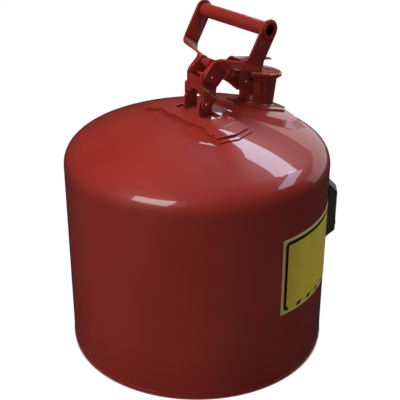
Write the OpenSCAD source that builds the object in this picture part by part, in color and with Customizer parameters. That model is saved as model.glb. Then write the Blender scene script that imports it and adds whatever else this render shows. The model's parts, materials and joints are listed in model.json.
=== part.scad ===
// Type I safety gas can: a drawn steel can with a sprung pouring spout.
// Pushing the bail handle forward tilts a yoke, a rod passes the push on to
// the cap lever, and the cap lifts off the spout. A spring round the rod
// closes it again.
// +X points toward the spout, +Z is up, the origin is the centre of the
// standing face. Millimetres.

/* [Can] */
// Outer diameter of the can
can_d = 318; // [300:1:330]
// Height at which the straight wall ends
wall_h = 237.3; // [220:0.1:260]
// Thickness of the can's sheet
sheet_t = 1; // [0.8:0.1:1.2]
// Radius of the shoulder where it leaves the wall
shoulder_r = 24.5; // [20:0.5:30]
// Angle that the first shoulder radius turns through
shoulder_turn = 44; // [40:1:48]
// Radius of the upper part of the shoulder
upper_shoulder_r = 41; // [36:1:46]
// Slope angle at which the shoulder meets the crown
crown_turn = 65.6; // [64:0.1:67]
// Height of the bottom above the standing face
bottom_recess = 5; // [4:0.5:9]
// Height of the foot ring
foot_h = 6.5; // [6.5:0.1:12]
// Thickness of the foot ring's sheet
foot_t = 0.7; // [0.6:0.1:1]

/* [Spout] */
// Distance of the spout's foot from the can's axis
spout_x = 95; // [92:0.5:98]
// Outer radius of the spout at its foot
spout_foot_r = 21.3; // [20.5:0.1:21.5]
// Outer radius of the spout under its rim
spout_top_r = 22.8; // [22:0.1:23]
// Length of the spout along its axis
spout_len = 34.9; // [34:0.1:36]
// Forward lean of the spout
spout_lean = 5.5; // [4:0.5:7]
// Wall of the spout
spout_t = 1.5; // [1.2:0.1:2]
// Height of the rolled rim
rim_h = 2.6; // [2:0.1:3]
// How far the rolled rim stands out from the wall
rim_out = 1.2; // [0.8:0.1:1.4]
// Forward slope of the rim and of the cap that lies on it
cap_tilt = 10.5; // [9.5:0.5:11.5]
// Half the width across the flats of the spout's flange
flange_r = 34; // [32:0.5:35]
// Thickness of the flange
flange_t = 2; // [1.5:0.1:2.5]
// Height of the pressed pad under the flange
pad_h = 5.5; // [4.5:0.1:6.5]
// Width of the pad's sloping edge
pad_slope = 9; // [7:0.5:10]
// Radius of the filling hole in the dome
fill_hole_r = 19.3; // [18.5:0.1:19.5]

/* [Flame arrester] */
// Outer radius of the arrester tube
arrester_r = 16.5; // [14:0.1:17]
// Wall of the arrester tube
arrester_t = 1; // [0.8:0.1:1.5]
// Length of the arrester tube
arrester_len = 70; // [50:1:72]
// Depth of the arrester's ring below the rim
arrester_depth = 9; // [7:0.5:11]
// Thickness of the arrester's ring
arrester_ring_t = 2.4; // [1.6:0.1:3]

/* [Cap] */
// Radius of the cap
cap_r = 28; // [27:0.1:28.5]
// Height of the cap's rim
cap_h = 4.6; // [4.2:0.1:5]
// Thickness of the cap's sheet
cap_t = 1.6; // [1.2:0.1:2]
// Width of the bead round the cap
cap_bead = 2.7; // [2.2:0.1:3]
// Thickness of the gasket
gasket_t = 2.4; // [2:0.1:2.6]
// Gap between the gasket and the rim
seal_gap = 0.3; // [0.2:0.05:0.4]
// Radius of the stud that carries the cap
stud_r = 4; // [3:0.1:5]

/* [Saddle plate] */
// Thickness of the saddle plate
saddle_t = 2.5; // [2:0.1:3]
// Height of the pressed pad under the saddle plate
saddle_pad_h = 1.5; // [1:0.1:2]
// How far the saddle's pad reaches past the plate
saddle_pad_margin = 5; // [3:0.5:7]
// Half the length of the raised middle of the plate
saddle_step_y = 48; // [44:0.5:52]
// Height of the raised middle
saddle_step_h = 0.8; // [0.5:0.1:1.2]
// Thickness of the ears
ear_t = 2.5; // [2:0.1:2.7]
// Distance of the inner faces of the ears from the middle
ear_y = 12.2; // [11.8:0.1:12.4]
// Radius of the tops of the ears
ear_r = 9.5; // [9:0.1:10]
// Length of the slot left where each ear was bent up
ear_slot_w = 16; // [14:0.5:20]

/* [Yoke] */
// Distance of the lower pivot in front of the can's axis
pivot_x = 1; // [0:0.5:2]
// Height of the lower pivot
pivot_z = 309; // [308:0.5:311]
// Distance from the lower pivot to the bail's pivot, forward
bail_dx = 9.8; // [9:0.1:10.6]
// Distance from the lower pivot to the bail's pivot, upward
bail_dz = 29.5; // [29:0.1:31]
// Distance from the lower pivot to the rod's pivot, forward
rod_dx = 18; // [17:0.1:19]
// Distance from the lower pivot to the rod's pivot, upward
rod_dz = 41.7; // [41:0.1:43]
// Forward lean of the yoke's bends
yoke_lean = 37.4; // [36:0.1:39]
// Thickness of the yoke's sheet
yoke_t = 2.4; // [2:0.1:2.4]
// Radius of the yoke round its pivots
yoke_r = 7.5; // [7:0.1:8]
// Height above the lower pivot at which the legs step inward, along the lean
joggle_s = 12.25; // [12:0.05:12.6]
// Rise of the step
joggle_h = 3.2; // [3:0.1:3.4]
// Inward travel of the step
joggle_in = 4.3; // [4.1:0.1:4.4]
// Bend radius of the step
joggle_r = 2; // [1.6:0.1:2]
// Distance of the yoke's rear face behind the can's axis
yoke_back_x = 4.5; // [4:0.1:5]
// Top of the arch under the yoke's web
arch_top_z = 325.5; // [323:0.5:327]
// Half the width of the arch
arch_half_w = 9.5; // [8:0.1:10]

/* [Bail] */
// Thickness of the bail straps
strap_t = 2.5; // [2:0.1:3]
// Radius of the straps' lower ends
strap_end_r = 13.3; // [12.5:0.1:13.3]
// Distance from the bail's pivot to the square end of a strap
strap_end_cut = 6; // [5.5:0.1:7]
// Width of a strap where it bends outward
strap_neck_w = 25; // [24:0.5:26]
// Width of a strap's leg
strap_leg_w = 24; // [22:0.5:26]
// Distance from the bail's pivot to the strap's knee, forward
knee_dx = 25.2; // [24:0.1:26]
// Distance from the bail's pivot to the strap's knee, upward
knee_dz = 21.5; // [20:0.1:23]
// Distance from the knee to the grip's axis
leg_len = 42.2; // [38:0.1:46]
// Forward lean of a strap's leg
leg_lean = 31.4; // [28:0.1:34]
// Distance of the middle of a leg from the middle of the can
leg_y = 56.4; // [50:0.1:60]
// Distance from the bail's pivot to the outward bend, along the lean
bend_low = 21; // [20:0.1:22]
// Distance from the bail's pivot to the upward bend, along the lean
bend_high = 28.5; // [28:0.1:32]
// Radius of the outward bend
bend_low_r = 9; // [7:0.5:9]
// Radius of the upward bend
bend_high_r = 12; // [9:0.5:13]
// Outer diameter of the grip tube
grip_d = 16.3; // [15.5:0.1:18]
// Wall of the grip tube
grip_t = 1.6; // [1.2:0.1:2]
// Outer diameter of the grip's rolled ends
grip_roll_d = 20.5; // [19:0.1:22]
// Width of the grip's rolled ends
grip_roll_w = 1.3; // [1:0.1:1.8]

/* [Rod and spring] */
// Downward slope of the push rod
rod_slope = 34.2; // [33:0.1:35]
// Radius of the push rod
rod_r = 3.2; // [2.8:0.1:3.4]
// Length of the rod beyond its pivot
rod_len = 40; // [36:0.5:40]
// Radius of the rod's eye
rod_eye_r = 6; // [5.5:0.1:6.5]
// Half the width of the rod's eye
rod_eye_y = 5; // [4.5:0.1:6]
// Distance from the rod's pivot to the cross pin
cross_s = 29; // [28.7:0.1:29.3]
// Radius of the cross pin
cross_r = 1.5; // [1.4:0.05:1.5]
// Thickness of the collar that the spring pushes on
collar_t = 4; // [3.6:0.1:4.4]
// Radius of the collar and of the spring's seat
collar_r = 8.3; // [8:0.1:8.4]
// Distance from the rod's pivot to the spring's seat
seat_s = 53.5; // [53.2:0.1:54]
// Radius of the spring, to the middle of its wire
spring_r = 7.3; // [7:0.1:7.3]
// Thickness of the spring's wire
wire_d = 1.8; // [1.6:0.1:1.9]
// Turns of the spring
spring_turns = 6.5; // [5:0.5:7]

/* [Cap lever and bracket] */
// Distance of the lever's hinge in front of the can's axis
hinge_x = 61; // [60.5:0.1:61.5]
// Height of the lever's hinge
hinge_z = 341; // [340.5:0.1:341.5]
// Radius of the lever round its hinge
lever_r = 8; // [7.5:0.1:8.2]
// Thickness of the lever's sheet
lever_t = 1.5; // [1.2:0.1:1.6]
// Distance of the lever's arms from the middle
lever_y = 8.9; // [8.7:0.1:8.9]
// Distance of the lever's tip in front of its hinge
tip_dx = 56.6; // [52:0.1:58]
// Width of the lever's tip
tip_w = 8; // [6:0.5:10]
// Clearance of the fork's slot round the cross pin
slot_play = 1; // [0.9:0.05:1.1]
// Thickness of the bracket's sheet
bracket_t = 2; // [1.6:0.1:2.1]
// Distance of the bracket's ears from the middle
bracket_y = 10.8; // [10.8:0.1:11]
// Lower edge of the bracket's band, along the spout
band_low = 13.5; // [11:0.5:15]
// Upper edge of the bracket's band, along the spout
band_high = 29.5; // [28.5:0.5:30]
// Angle that the band reaches round each side of the spout
band_angle = 57; // [50:1:65]
// Radius of the bracket round the hinge and the seat's pin
boss_r = 6; // [5.5:0.1:6]
// Distance of the seat's pin in front of the can's axis
seat_pin_x = 66.5; // [66:0.1:67]
// Height of the seat's pin
seat_pin_z = 321; // [320.5:0.1:321.5]

/* [Pins] */
// Radius of the rivets of the lower pivot
lower_pin_r = 2.8; // [2.5:0.1:3]
// Radius of the bail's pivot pin
bail_pin_r = 2.8; // [2.5:0.1:3]
// Radius of the rod's pivot pin
rod_pin_r = 2.5; // [2:0.1:3]
// Radius of the lever's hinge pin
hinge_pin_r = 2.5; // [2:0.1:3]
// Radius of the seat's pin
seat_pin_r = 2; // [1.6:0.1:2.4]
// How much wider a rivet head is than its shank, on each side
head_out = 1; // [0.8:0.1:1.6]
// Height of a rivet head
head_h = 1.4; // [1.2:0.1:1.8]
// Radial clearance of a turning pin in its hole
pin_fit = 0.05; // [0.03:0.01:0.08]
// Side clearance between parts that turn on each other
side_fit = 0.3; // [0.25:0.05:0.35]

/* [Panel and side block] */
// Direction of the middle of the panel, from the spout's side
panel_angle = -70; // [-90:1:-60]
// Angle that the panel covers
panel_span = 46; // [30:1:46]
// Lower edge of the panel
panel_low = 94.9; // [80:0.1:110]
// Height of the panel
panel_h = 98; // [80:1:120]
// Thickness of the panel
panel_t = 0.3; // [0.2:0.05:0.5]
// Direction of the side block, from the spout's side
block_angle = -43; // [-46:1:-38]
// Width of the side block
block_w = 20; // [14:1:20]
// How far the side block stands out
block_out = 10.5; // [8:0.5:12]
// Lower end of the side block
block_low = 138; // [130:1:145]
// Height of the side block
block_h = 73; // [60:1:80]

/* [Hidden] */
$fn = 96;

red = [0.62, 0.09, 0.08];
dark_red = [0.5, 0.07, 0.07];
steel = [0.62, 0.62, 0.63];
black = [0.09, 0.09, 0.1];

// The wall, shoulder and crown are tangent arcs in the half section.
can_r = can_d / 2;
c1 = [can_r - shoulder_r, wall_h];
e1 = c1 + shoulder_r * dir(shoulder_turn);
c2 = e1 - upper_shoulder_r * dir(shoulder_turn);
e2 = c2 + upper_shoulder_r * dir(crown_turn);
crown_r = e2[0] / cos(crown_turn);
crown_c = [0, e2[1] - crown_r * sin(crown_turn)];

// Pivots in the XZ plane
pivot = [pivot_x, pivot_z];
bail_pivot = pivot + [bail_dx, bail_dz];
rod_pivot = pivot + [rod_dx, rod_dz];
hinge = [hinge_x, hinge_z];
seat_pin_at = [seat_pin_x, seat_pin_z];
rod_dir = dir(-rod_slope);
cross_at = rod_pivot + cross_s * rod_dir;
knee = bail_pivot + [knee_dx, knee_dz];
grip_at = knee + leg_len * dir(90 - leg_lean);

// Spout: foot on the flange, rim at its upper end
flange_top = pad_h + flange_t;
spout_foot = [spout_x, dome_z(flange_top, spout_x)];
spout_rim = spout_foot + spout_len * dir(90 - spout_lean);
taper = (spout_top_r - spout_foot_r) / spout_len;
past = 8;
// Turn between two facets of a sheet's bend
bend_step = 7;

// Widths across the mechanism, outward from the middle
leg_in = ear_y + ear_t + side_fit;
leg_out = leg_in + yoke_t;
arm_in = leg_in - joggle_in;
arm_out = arm_in + yoke_t;
strap_in = arm_out + side_fit;
strap_y = strap_in + strap_t / 2;
leg_y_out = leg_y + strap_t / 2;
bracket_out = bracket_y + bracket_t;
lever_out = lever_y + lever_t;

// Outline of the saddle plate, one side, from its middle to its tip
saddle_half = [
    [-28, 0], [-28, 18], [-22, 40], [-27.5, 52], [-25, 65], [-1, 69.5],
    [22, 64.5], [24, 56], [22.5, 38], [27, 18], [27, 0]
];
// Half of the outline of its raised middle
saddle_step_half = [
    [-30, 0], [-30, 24], [-20, 41], [-20, saddle_step_y], [-6, saddle_step_y + 4.5],
    [19, saddle_step_y], [25, 26], [30, 0]
];
// Foot of the pressed pad under the spout: rear corner, flank, widest point
pad_rear = [40, 33.5];
pad_flank = [61, 57];
pad_wide = [91, 74.5];
pad_front_r = 135;
pad_front_angle = 29;

function dir(a) = [cos(a), sin(a)];
function perp(v) = [-v[1], v[0]];
function unit(v) = v / norm(v);
function turn(u, v) = u[0] * v[1] - u[1] * v[0];
function angle_of(v) = atan2(v[1], v[0]);
// Height of the crown, raised by h, at distance d from the axis
function dome_z(h, d) = crown_c[1] + sqrt(pow(crown_r + h, 2) - d * d);
// Point where a tangent from p touches a circle; side is 1 or -1
function touch(p, c, r, side) =
    c + r * dir(angle_of(p - c) + side * acos(r / norm(p - c)));

// Wedge of a disc about c, from angle a0 to a1
module sector(c, r, a0, a1) {
    translate(c)
        intersection() {
            circle(r = r);
            polygon([[0, 0], 2 * r * dir(a0), 2 * r * dir((a0 + a1) / 2), 2 * r * dir(a1)]);
        }
}

// Part of a ring about c, from angle a0 to a1
module ring_part(c, r_in, r_out, a0, a1) {
    difference() {
        sector(c, r_out, a0, a1);
        translate(c) circle(r = r_in);
    }
}

// Sheet of thickness t along a line with one bend at each inner point. Each
// sample is a point of the sheet's middle with the direction across the sheet.
function bent_samples(p, r) = [
    for (i = [0:len(p) - 1])
        let (u = unit(p[max(i, 1)] - p[max(i, 1) - 1]), v = unit(p[min(i + 1, len(p) - 1)] - p[min(i, len(p) - 2)]))
            each i == 0 || i == len(p) - 1 ? [[p[i], perp(u)]] :
                let (bend = acos(u * v), side = turn(u, v) > 0 ? 1 : -1, n = ceil(bend / bend_step),
                    c = p[i] - r[i - 1] * tan(bend / 2) * u + side * r[i - 1] * perp(u))
                    [for (k = [0:n])
                        let (w = dir(angle_of(perp(u)) + side * bend * k / n)) [c - side * r[i - 1] * w, w]]
];

module bent_strip(p, r, t) {
    mid = bent_samples(p, r);
    polygon(concat(
        [for (q = mid) q[0] + t / 2 * q[1]],
        [for (i = [len(mid) - 1:-1:0]) mid[i][0] - t / 2 * mid[i][1]]
    ));
}

// Outline in the XZ plane, given thickness from y0 to y1
module across(y0, y1) {
    translate([0, y1, 0]) rotate([90, 0, 0]) linear_extrude(y1 - y0) children();
}

// Profile in Y and height along the lean, swept to both sides of the pivot
module along_lean(p, reach) {
    translate([p[0], 0, p[1]])
        rotate([0, yoke_lean, 0])
            rotate([90, 0, 90])
                translate([0, 0, -reach])
                    linear_extrude(2 * reach) children();
}

module both_sides() {
    children();
    mirror([0, 1, 0]) children();
}

// Round bar along Y through p
module pin_y(p, r, y0, y1) {
    across(y0, y1) translate(p) circle(r = r);
}

// Plate between y0 and y1 with two round ends and sides that touch both
module slab(a, ra, b, rb, y0, y1, tuck = 0) {
    g = angle_of(b - a);
    t = acos((ra - rb) / norm(b - a));
    qa = ra - tuck;
    qb = rb - tuck;
    pin_y(a, ra, y0, y1);
    pin_y(b, rb, y0, y1);
    across(y0, y1)
        polygon([a + qa * dir(g + t), b + qb * dir(g + t), b + qb * dir(g - t), a + qa * dir(g - t)]);
}

// Rivet head on a face at distance y0 from the middle
module head_y(p, r, y0) {
    translate([p[0], y0, p[1]])
        rotate([-90, 0, 0])
            cylinder(r1 = r + head_out, r2 = r + head_out / 3, h = head_h);
}

module at_spout() {
    translate([spout_foot[0], 0, spout_foot[1]]) rotate([0, spout_lean, 0]) children();
}

module at_rim() {
    translate([spout_rim[0], 0, spout_rim[1]]) rotate([0, cap_tilt, 0]) children();
}

// Along the push rod, with s = 0 at its pivot
module at_rod() {
    translate([rod_pivot[0], 0, rod_pivot[1]]) rotate([0, 90 + rod_slope, 0]) children();
}

module crown(h) {
    translate([0, 0, crown_c[1]]) sphere(r = crown_r + h, $fn = 180);
}

// Layer that follows the crown between two heights above it
module crown_layer(h0, h1) {
    intersection() {
        difference() {
            crown(h1);
            crown(h0);
        }
        translate([0, 0, wall_h]) linear_extrude(crown_r) children();
    }
}

// Half section of the can, set in by d all round. The arcs run on a little
// inside their neighbours, so that the pieces overlap.
module can_section(d) {
    lap = 12;
    intersection() {
        union() {
            polygon([
                [0, 0], [can_r - d, 0], [can_r - d, wall_h],
                c1 + shoulder_r / 2 * dir(shoulder_turn / 2),
                c2 + upper_shoulder_r * 0.7 * dir((shoulder_turn + crown_turn) / 2), [0, wall_h]
            ]);
            sector(c1, shoulder_r - d, -lap, shoulder_turn + lap);
            sector(c2, upper_shoulder_r - d, shoulder_turn, crown_turn + lap);
            sector(crown_c, crown_r - d, crown_turn, 90);
        }
        square([can_r, 2 * can_r]);
    }
}

// The pressed pad under the spout: a slope all round, seen from above, whose
// foot lies on the dome and whose top edge lies pad_h above it
function pad_side() = concat(
    [pad_rear, pad_flank, (pad_flank + pad_wide) / 2 + [0, 1.5], pad_wide],
    [for (a = [pad_front_angle:-pad_front_angle / 3:1]) pad_front_r * dir(a)]
);
function pad_outline() = concat(
    [for (p = pad_side()) p],
    [[pad_front_r, 0]],
    [for (i = [len(pad_side()) - 1:-1:0]) [pad_side()[i][0], -pad_side()[i][1]]]
);
// A clockwise outline moved outward by d
function move_out(p, d) = [
    for (i = [0:len(p) - 1])
        let (u = unit(p[i] - p[(i + len(p) - 1) % len(p)]), v = unit(p[(i + 1) % len(p)] - p[i]))
            p[i] + d / (1 + u * v) * (perp(u) + perp(v))
];
function on_crown(p, h) = [p[0], p[1], dome_z(h, norm(p))];

module pressed_pad(d) {
    foot = move_out(pad_outline(), -d);
    top = move_out(pad_outline(), -d - pad_slope);
    n = len(foot);
    low = [for (i = [0:n - 1]) let (a = on_crown(foot[i], -d), b = on_crown(top[i], pad_h - d)) a - (b - a) / 2];
    high = [for (i = [0:n - 1]) let (a = on_crown(foot[i], -d), b = on_crown(top[i], pad_h - d)) b + (b - a) / 2];
    mid = [spout_x, 0, dome_z(-past, spout_x)];
    lid = [spout_x, 0, dome_z(pad_h + past, spout_x)];
    intersection() {
        polyhedron(
            points = concat(low, high, [mid, lid]),
            faces = concat(
                [for (i = [0:n - 1]) [i, (i + 1) % n, n + i]],
                [for (i = [0:n - 1]) [(i + 1) % n, n + (i + 1) % n, n + i]],
                [for (i = [0:n - 1]) [(i + 1) % n, i, 2 * n]],
                [for (i = [0:n - 1]) [n + i, n + (i + 1) % n, 2 * n + 1]]
            )
        );
        crown(pad_h - d);
    }
}

module can_body() {
    color(red)
        difference() {
            union() {
                difference() {
                    rotate_extrude($fn = 180) can_section(0);
                    translate([0, 0, -past]) cylinder(r = 2 * can_r, h = past + foot_t);
                }
                pressed_pad(0);
                crown_layer(-sheet_t / 2, saddle_pad_h) saddle_outline(saddle_pad_margin);
            }
            rotate_extrude($fn = 180) can_section(sheet_t);
            pressed_pad(sheet_t);
            at_spout() translate([0, 0, -4 * past]) cylinder(r = fill_hole_r, h = 8 * past);
        }
}

module bottom_pan() {
    rim = can_r - sheet_t;
    color(red)
        rotate_extrude($fn = 180)
            polygon([
                [0, bottom_recess], [rim - foot_t, bottom_recess], [rim - foot_t, foot_t], [rim, foot_t],
                [rim, bottom_recess + sheet_t], [0, bottom_recess + sheet_t]
            ]);
}

module foot_ring() {
    out = can_r + foot_t;
    in = can_r - sheet_t - 2 * foot_t;
    color(dark_red)
        rotate_extrude($fn = 180)
            polygon([
                [in, 0], [out, 0], [out, foot_h], [can_r, foot_h], [can_r, foot_t],
                [in + foot_t, foot_t], [in + foot_t, bottom_recess], [in, bottom_recess]
            ]);
}

module saddle_outline(margin) {
    k = 1 + margin / 60;
    polygon(concat(
        [for (p = saddle_half) [p[0] * k, p[1] * k]],
        [for (i = [len(saddle_half) - 2:-1:1]) [saddle_half[i][0] * k, -saddle_half[i][1] * k]]
    ));
}

module ear() {
    pin_y(pivot, ear_r, ear_y, ear_y + ear_t);
    across(ear_y, ear_y + ear_t)
        polygon([
            [pivot_x - ear_r - 1, dome_z(saddle_pad_h, 0) - 1], [pivot_x - ear_r, pivot_z],
            [pivot_x + ear_r, pivot_z], [pivot_x + ear_r + 1, dome_z(saddle_pad_h, 0) - 1]
        ]);
}

module saddle_plate() {
    color(red)
        difference() {
            union() {
                difference() {
                    union() {
                        crown_layer(saddle_pad_h, saddle_pad_h + saddle_t) saddle_outline(0);
                        crown_layer(saddle_pad_h + saddle_t / 2, saddle_pad_h + saddle_t + saddle_step_h)
                            intersection() {
                                saddle_outline(0);
                                polygon(concat(
                                    saddle_step_half,
                                    [for (i = [len(saddle_step_half) - 2:-1:1])
                                        [saddle_step_half[i][0], -saddle_step_half[i][1]]]
                                ));
                            }
                    }
                    both_sides()
                        translate([pivot_x - ear_r - 1, ear_y + ear_t, wall_h])
                            cube([2 * ear_r + 2, ear_slot_w, can_r]);
                }
                both_sides() ear();
            }
            crown(saddle_pad_h);
            pin_y(pivot, lower_pin_r, -2 * ear_y, 2 * ear_y);
        }
}

module lower_pivot_rivets() {
    color(red)
        both_sides() {
            pin_y(pivot, lower_pin_r, ear_y - head_h / 2, leg_out + side_fit + head_h / 2);
            pin_y(pivot, lower_pin_r + head_out, ear_y - head_h / 2, ear_y);
            head_y(pivot, lower_pin_r, leg_out + side_fit);
        }
}

module spout_flange() {
    color(red)
        difference() {
            crown_layer(pad_h, flange_top)
                translate([spout_x, 0])
                    intersection() {
                        square(2 * flange_r, center = true);
                        rotate(45) square(2 * flange_r + 4, center = true);
                    }
            at_spout() translate([0, 0, -4 * past]) cylinder(r = fill_hole_r, h = 8 * past);
        }
}

// Cone of the spout, set in by d, from s0 to s1 along its axis
module spout_cone(d, s0, s1) {
    at_spout()
        translate([0, 0, s0])
            cylinder(r1 = spout_foot_r - d + s0 * taper, r2 = spout_foot_r - d + s1 * taper, h = s1 - s0);
}

module spout() {
    color(red)
        difference() {
            union() {
                difference() {
                    spout_cone(0, -past, spout_len + past);
                    at_rim() cylinder(r = 2 * cap_r, h = 2 * past);
                }
                at_rim()
                    translate([0, 0, -rim_h])
                        rotate_extrude() {
                            square([spout_top_r + rim_out / 2, rim_h]);
                            translate([spout_top_r + rim_out / 2, rim_h / 2]) circle(r = rim_h / 2);
                        }
            }
            spout_cone(spout_t, -2 * past, spout_len + 2 * past);
            crown(flange_top);
        }
}

module flame_arrester() {
    top = spout_len - arrester_depth;
    color(steel)
        at_spout()
            translate([0, 0, top - arrester_len])
                difference() {
                    cylinder(r = arrester_r, h = arrester_len);
                    translate([0, 0, arrester_t]) cylinder(r = arrester_r - arrester_t, h = arrester_len);
                }
}

module arrester_ring() {
    top = spout_len - arrester_depth;
    color(steel)
        difference() {
            spout_cone(spout_t + pin_fit, top - arrester_ring_t, top);
            at_spout() translate([0, 0, top - past]) cylinder(r = arrester_r, h = 2 * past);
        }
}

module bracket_ear() {
    back_x = hinge[0] - boss_r + 0.5;
    difference() {
        union() {
            pin_y(hinge, boss_r, bracket_y, bracket_out);
            across(bracket_y, bracket_out)
                polygon([
                    hinge, [back_x, hinge[1] - 2], [back_x, seat_pin_at[1] - 2.5],
                    seat_pin_at + [7.5, -18.5], seat_pin_at + [17.5, -17], seat_pin_at + [13.5, -5],
                    seat_pin_at + [5.8, 1], hinge + [boss_r - 0.5, -2]
                ]);
        }
        pin_y(hinge, hinge_pin_r, 0, 2 * bracket_out);
        pin_y(seat_pin_at, seat_pin_r, 0, 2 * bracket_out);
    }
}

module lever_bracket() {
    reach = 3 * spout_top_r;
    color(red)
        difference() {
            union() {
                intersection() {
                    spout_cone(-bracket_t, band_low, band_high);
                    at_spout()
                        linear_extrude(spout_len)
                            polygon([[0, 0], reach * dir(180 - band_angle), [-reach, 0], reach * dir(180 + band_angle)]);
                }
                both_sides() bracket_ear();
            }
            spout_cone(0, -past, spout_len + past);
        }
}

module lever_hinge_pin() {
    color(red) {
        pin_y(hinge, hinge_pin_r, -bracket_out, bracket_out);
        both_sides() head_y(hinge, hinge_pin_r, bracket_out);
    }
}

module spring_seat() {
    color(dark_red)
        difference() {
            union() {
                at_rod() {
                    translate([0, 0, seat_s]) cylinder(r = collar_r, h = 2);
                    translate([0, 0, seat_s - 2]) cylinder(r = rod_r + 1.6, h = 2 + past);
                }
                intersection() {
                    pin_y(seat_pin_at, seat_pin_r + 2.4, -bracket_y, bracket_y);
                    at_rod() translate([0, 0, seat_s]) cylinder(r = 2 * bracket_y, h = 2 * past);
                }
            }
            pin_y(seat_pin_at, seat_pin_r, -2 * bracket_y, 2 * bracket_y);
            spout_cone(-bracket_t - side_fit, 0, spout_len + past);
        }
}

module seat_pin() {
    color(red) {
        pin_y(seat_pin_at, seat_pin_r, -bracket_out, bracket_out);
        both_sides() head_y(seat_pin_at, seat_pin_r, bracket_out);
    }
}

// Coil as a swept tube: a ring of sides at every step along the helix
module closing_spring() {
    s0 = cross_s + collar_t / 2 + wire_d / 2 + 0.1;
    s1 = seat_s - wire_d / 2 - 0.1;
    steps = 18 * spring_turns;
    sides = 8;
    rings = [
        for (i = [0:steps])
            let (a = 360 * i * spring_turns / steps, z = s0 + (s1 - s0) * i / steps)
                [for (j = [0:sides - 1])
                    let (b = 360 * j / sides, r = spring_r + wire_d / 2 * cos(b))
                        [r * cos(a), r * sin(a), z + wire_d / 2 * sin(b)]]
    ];
    pts = [for (ring = rings) each ring];
    color(red)
        at_rod()
            polyhedron(
                points = pts,
                faces = concat(
                    [[for (j = [0:sides - 1]) j]],
                    [for (i = [0:steps - 1]) for (j = [0:sides - 1]) each [
                        [i * sides + j, (i + 1) * sides + j, (i + 1) * sides + (j + 1) % sides],
                        [i * sides + j, (i + 1) * sides + (j + 1) % sides, i * sides + (j + 1) % sides]
                    ]],
                    [[for (j = [sides - 1:-1:0]) steps * sides + j]]
                )
            );
}

module label_panel() {
    color([0.85, 0.7, 0.2])
        rotate([0, 0, panel_angle])
            translate([0, 0, panel_low])
                linear_extrude(panel_h)
                    ring_part([0, 0], can_r + pin_fit, can_r + pin_fit + panel_t, -panel_span / 2, panel_span / 2);
}

module side_block() {
    color(black)
        difference() {
            rotate([0, 0, block_angle])
                across(-block_w / 2, block_w / 2)
                    polygon([
                        [can_r - past, block_low], [can_r, block_low], [can_r + block_out, block_low + block_out],
                        [can_r + block_out, block_low + block_h - block_out], [can_r, block_low + block_h],
                        [can_r - past, block_low + block_h]
                    ]);
            cylinder(r = can_r, h = 2 * wall_h);
        }
}

module side_block_rivet() {
    color(steel)
        rotate([0, 0, block_angle])
            translate([can_r + block_out, 0, block_low + block_out + 6])
                rotate([0, 90, 0])
                    cylinder(r1 = 4, r2 = 3, h = 1.2);
}

// Side view of the yoke, as thick as the whole yoke is wide
module yoke_side() {
    rear = [-yoke_back_x + yoke_r - 1.5, rod_pivot[1] - 9];
    waist = pivot + [16.2, 4.5];
    rise = pivot + [18, 16];
    pin_y(pivot, yoke_r, -leg_out, leg_out);
    slab(rear, yoke_r - 1.5, rod_pivot, yoke_r, -leg_out, leg_out);
    across(-leg_out, leg_out)
        polygon([
            [-yoke_back_x, pivot_z - 5], [-yoke_back_x, rear[1]], rear, rod_pivot,
            touch(rise, rod_pivot, yoke_r, 1), rise, waist, touch(waist, pivot, yoke_r, -1), pivot
        ]);
}

function yoke_path() = [
    [leg_in + yoke_t / 2, -20], [leg_in + yoke_t / 2, joggle_s],
    [arm_in + yoke_t / 2, joggle_s + joggle_h], [arm_in + yoke_t / 2, 70]
];

module yoke() {
    web_low = pivot_z + 11;
    color(red)
        difference() {
            union() {
                intersection() {
                    yoke_side();
                    along_lean(pivot, 60) {
                        bent_strip(yoke_path(), [joggle_r, joggle_r], yoke_t);
                        mirror([1, 0]) bent_strip(yoke_path(), [joggle_r, joggle_r], yoke_t);
                    }
                }
                intersection() {
                    translate([-yoke_back_x, -leg_out, web_low])
                        cube([yoke_t, 2 * leg_out, rod_pivot[1] - 9 - web_low]);
                    along_lean(pivot, 60)
                        polygon([
                            [-leg_in - yoke_t / 2, -20], [leg_in + yoke_t / 2, -20],
                            [leg_in + yoke_t / 2, joggle_s], [arm_in + yoke_t / 2, joggle_s + joggle_h],
                            [arm_in + yoke_t / 2, 70], [-arm_in - yoke_t / 2, 70],
                            [-arm_in - yoke_t / 2, joggle_s + joggle_h], [-leg_in - yoke_t / 2, joggle_s]
                        ]);
                }
            }
            translate([0, 0, arch_top_z - arch_half_w])
                rotate([90, 0, 90])
                    translate([0, 0, -3 * yoke_back_x])
                        linear_extrude(4 * yoke_back_x - 1) {
                            circle(r = arch_half_w);
                            translate([-arch_half_w, -3 * arch_half_w]) square([2 * arch_half_w, 3 * arch_half_w]);
                        }
            pin_y(pivot, lower_pin_r + pin_fit, -2 * leg_out, 2 * leg_out);
            pin_y(bail_pivot, bail_pin_r, -2 * leg_out, 2 * leg_out);
            pin_y(rod_pivot, rod_pin_r, -2 * leg_out, 2 * leg_out);
        }
}

module bail_pivot_pin() {
    color(red) {
        pin_y(bail_pivot, bail_pin_r, -strap_in - strap_t - side_fit, strap_in + strap_t + side_fit);
        both_sides() head_y(bail_pivot, bail_pin_r, strap_in + strap_t + side_fit);
    }
}

module rod_pivot_pin() {
    color(red) pin_y(rod_pivot, rod_pin_r, -arm_out, arm_out);
}

module rod_spacers() {
    color(red)
        both_sides()
            difference() {
                pin_y(rod_pivot, rod_pin_r + 2, rod_eye_y + side_fit, arm_in);
                pin_y(rod_pivot, rod_pin_r, 0, 2 * arm_in);
            }
}

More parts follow.
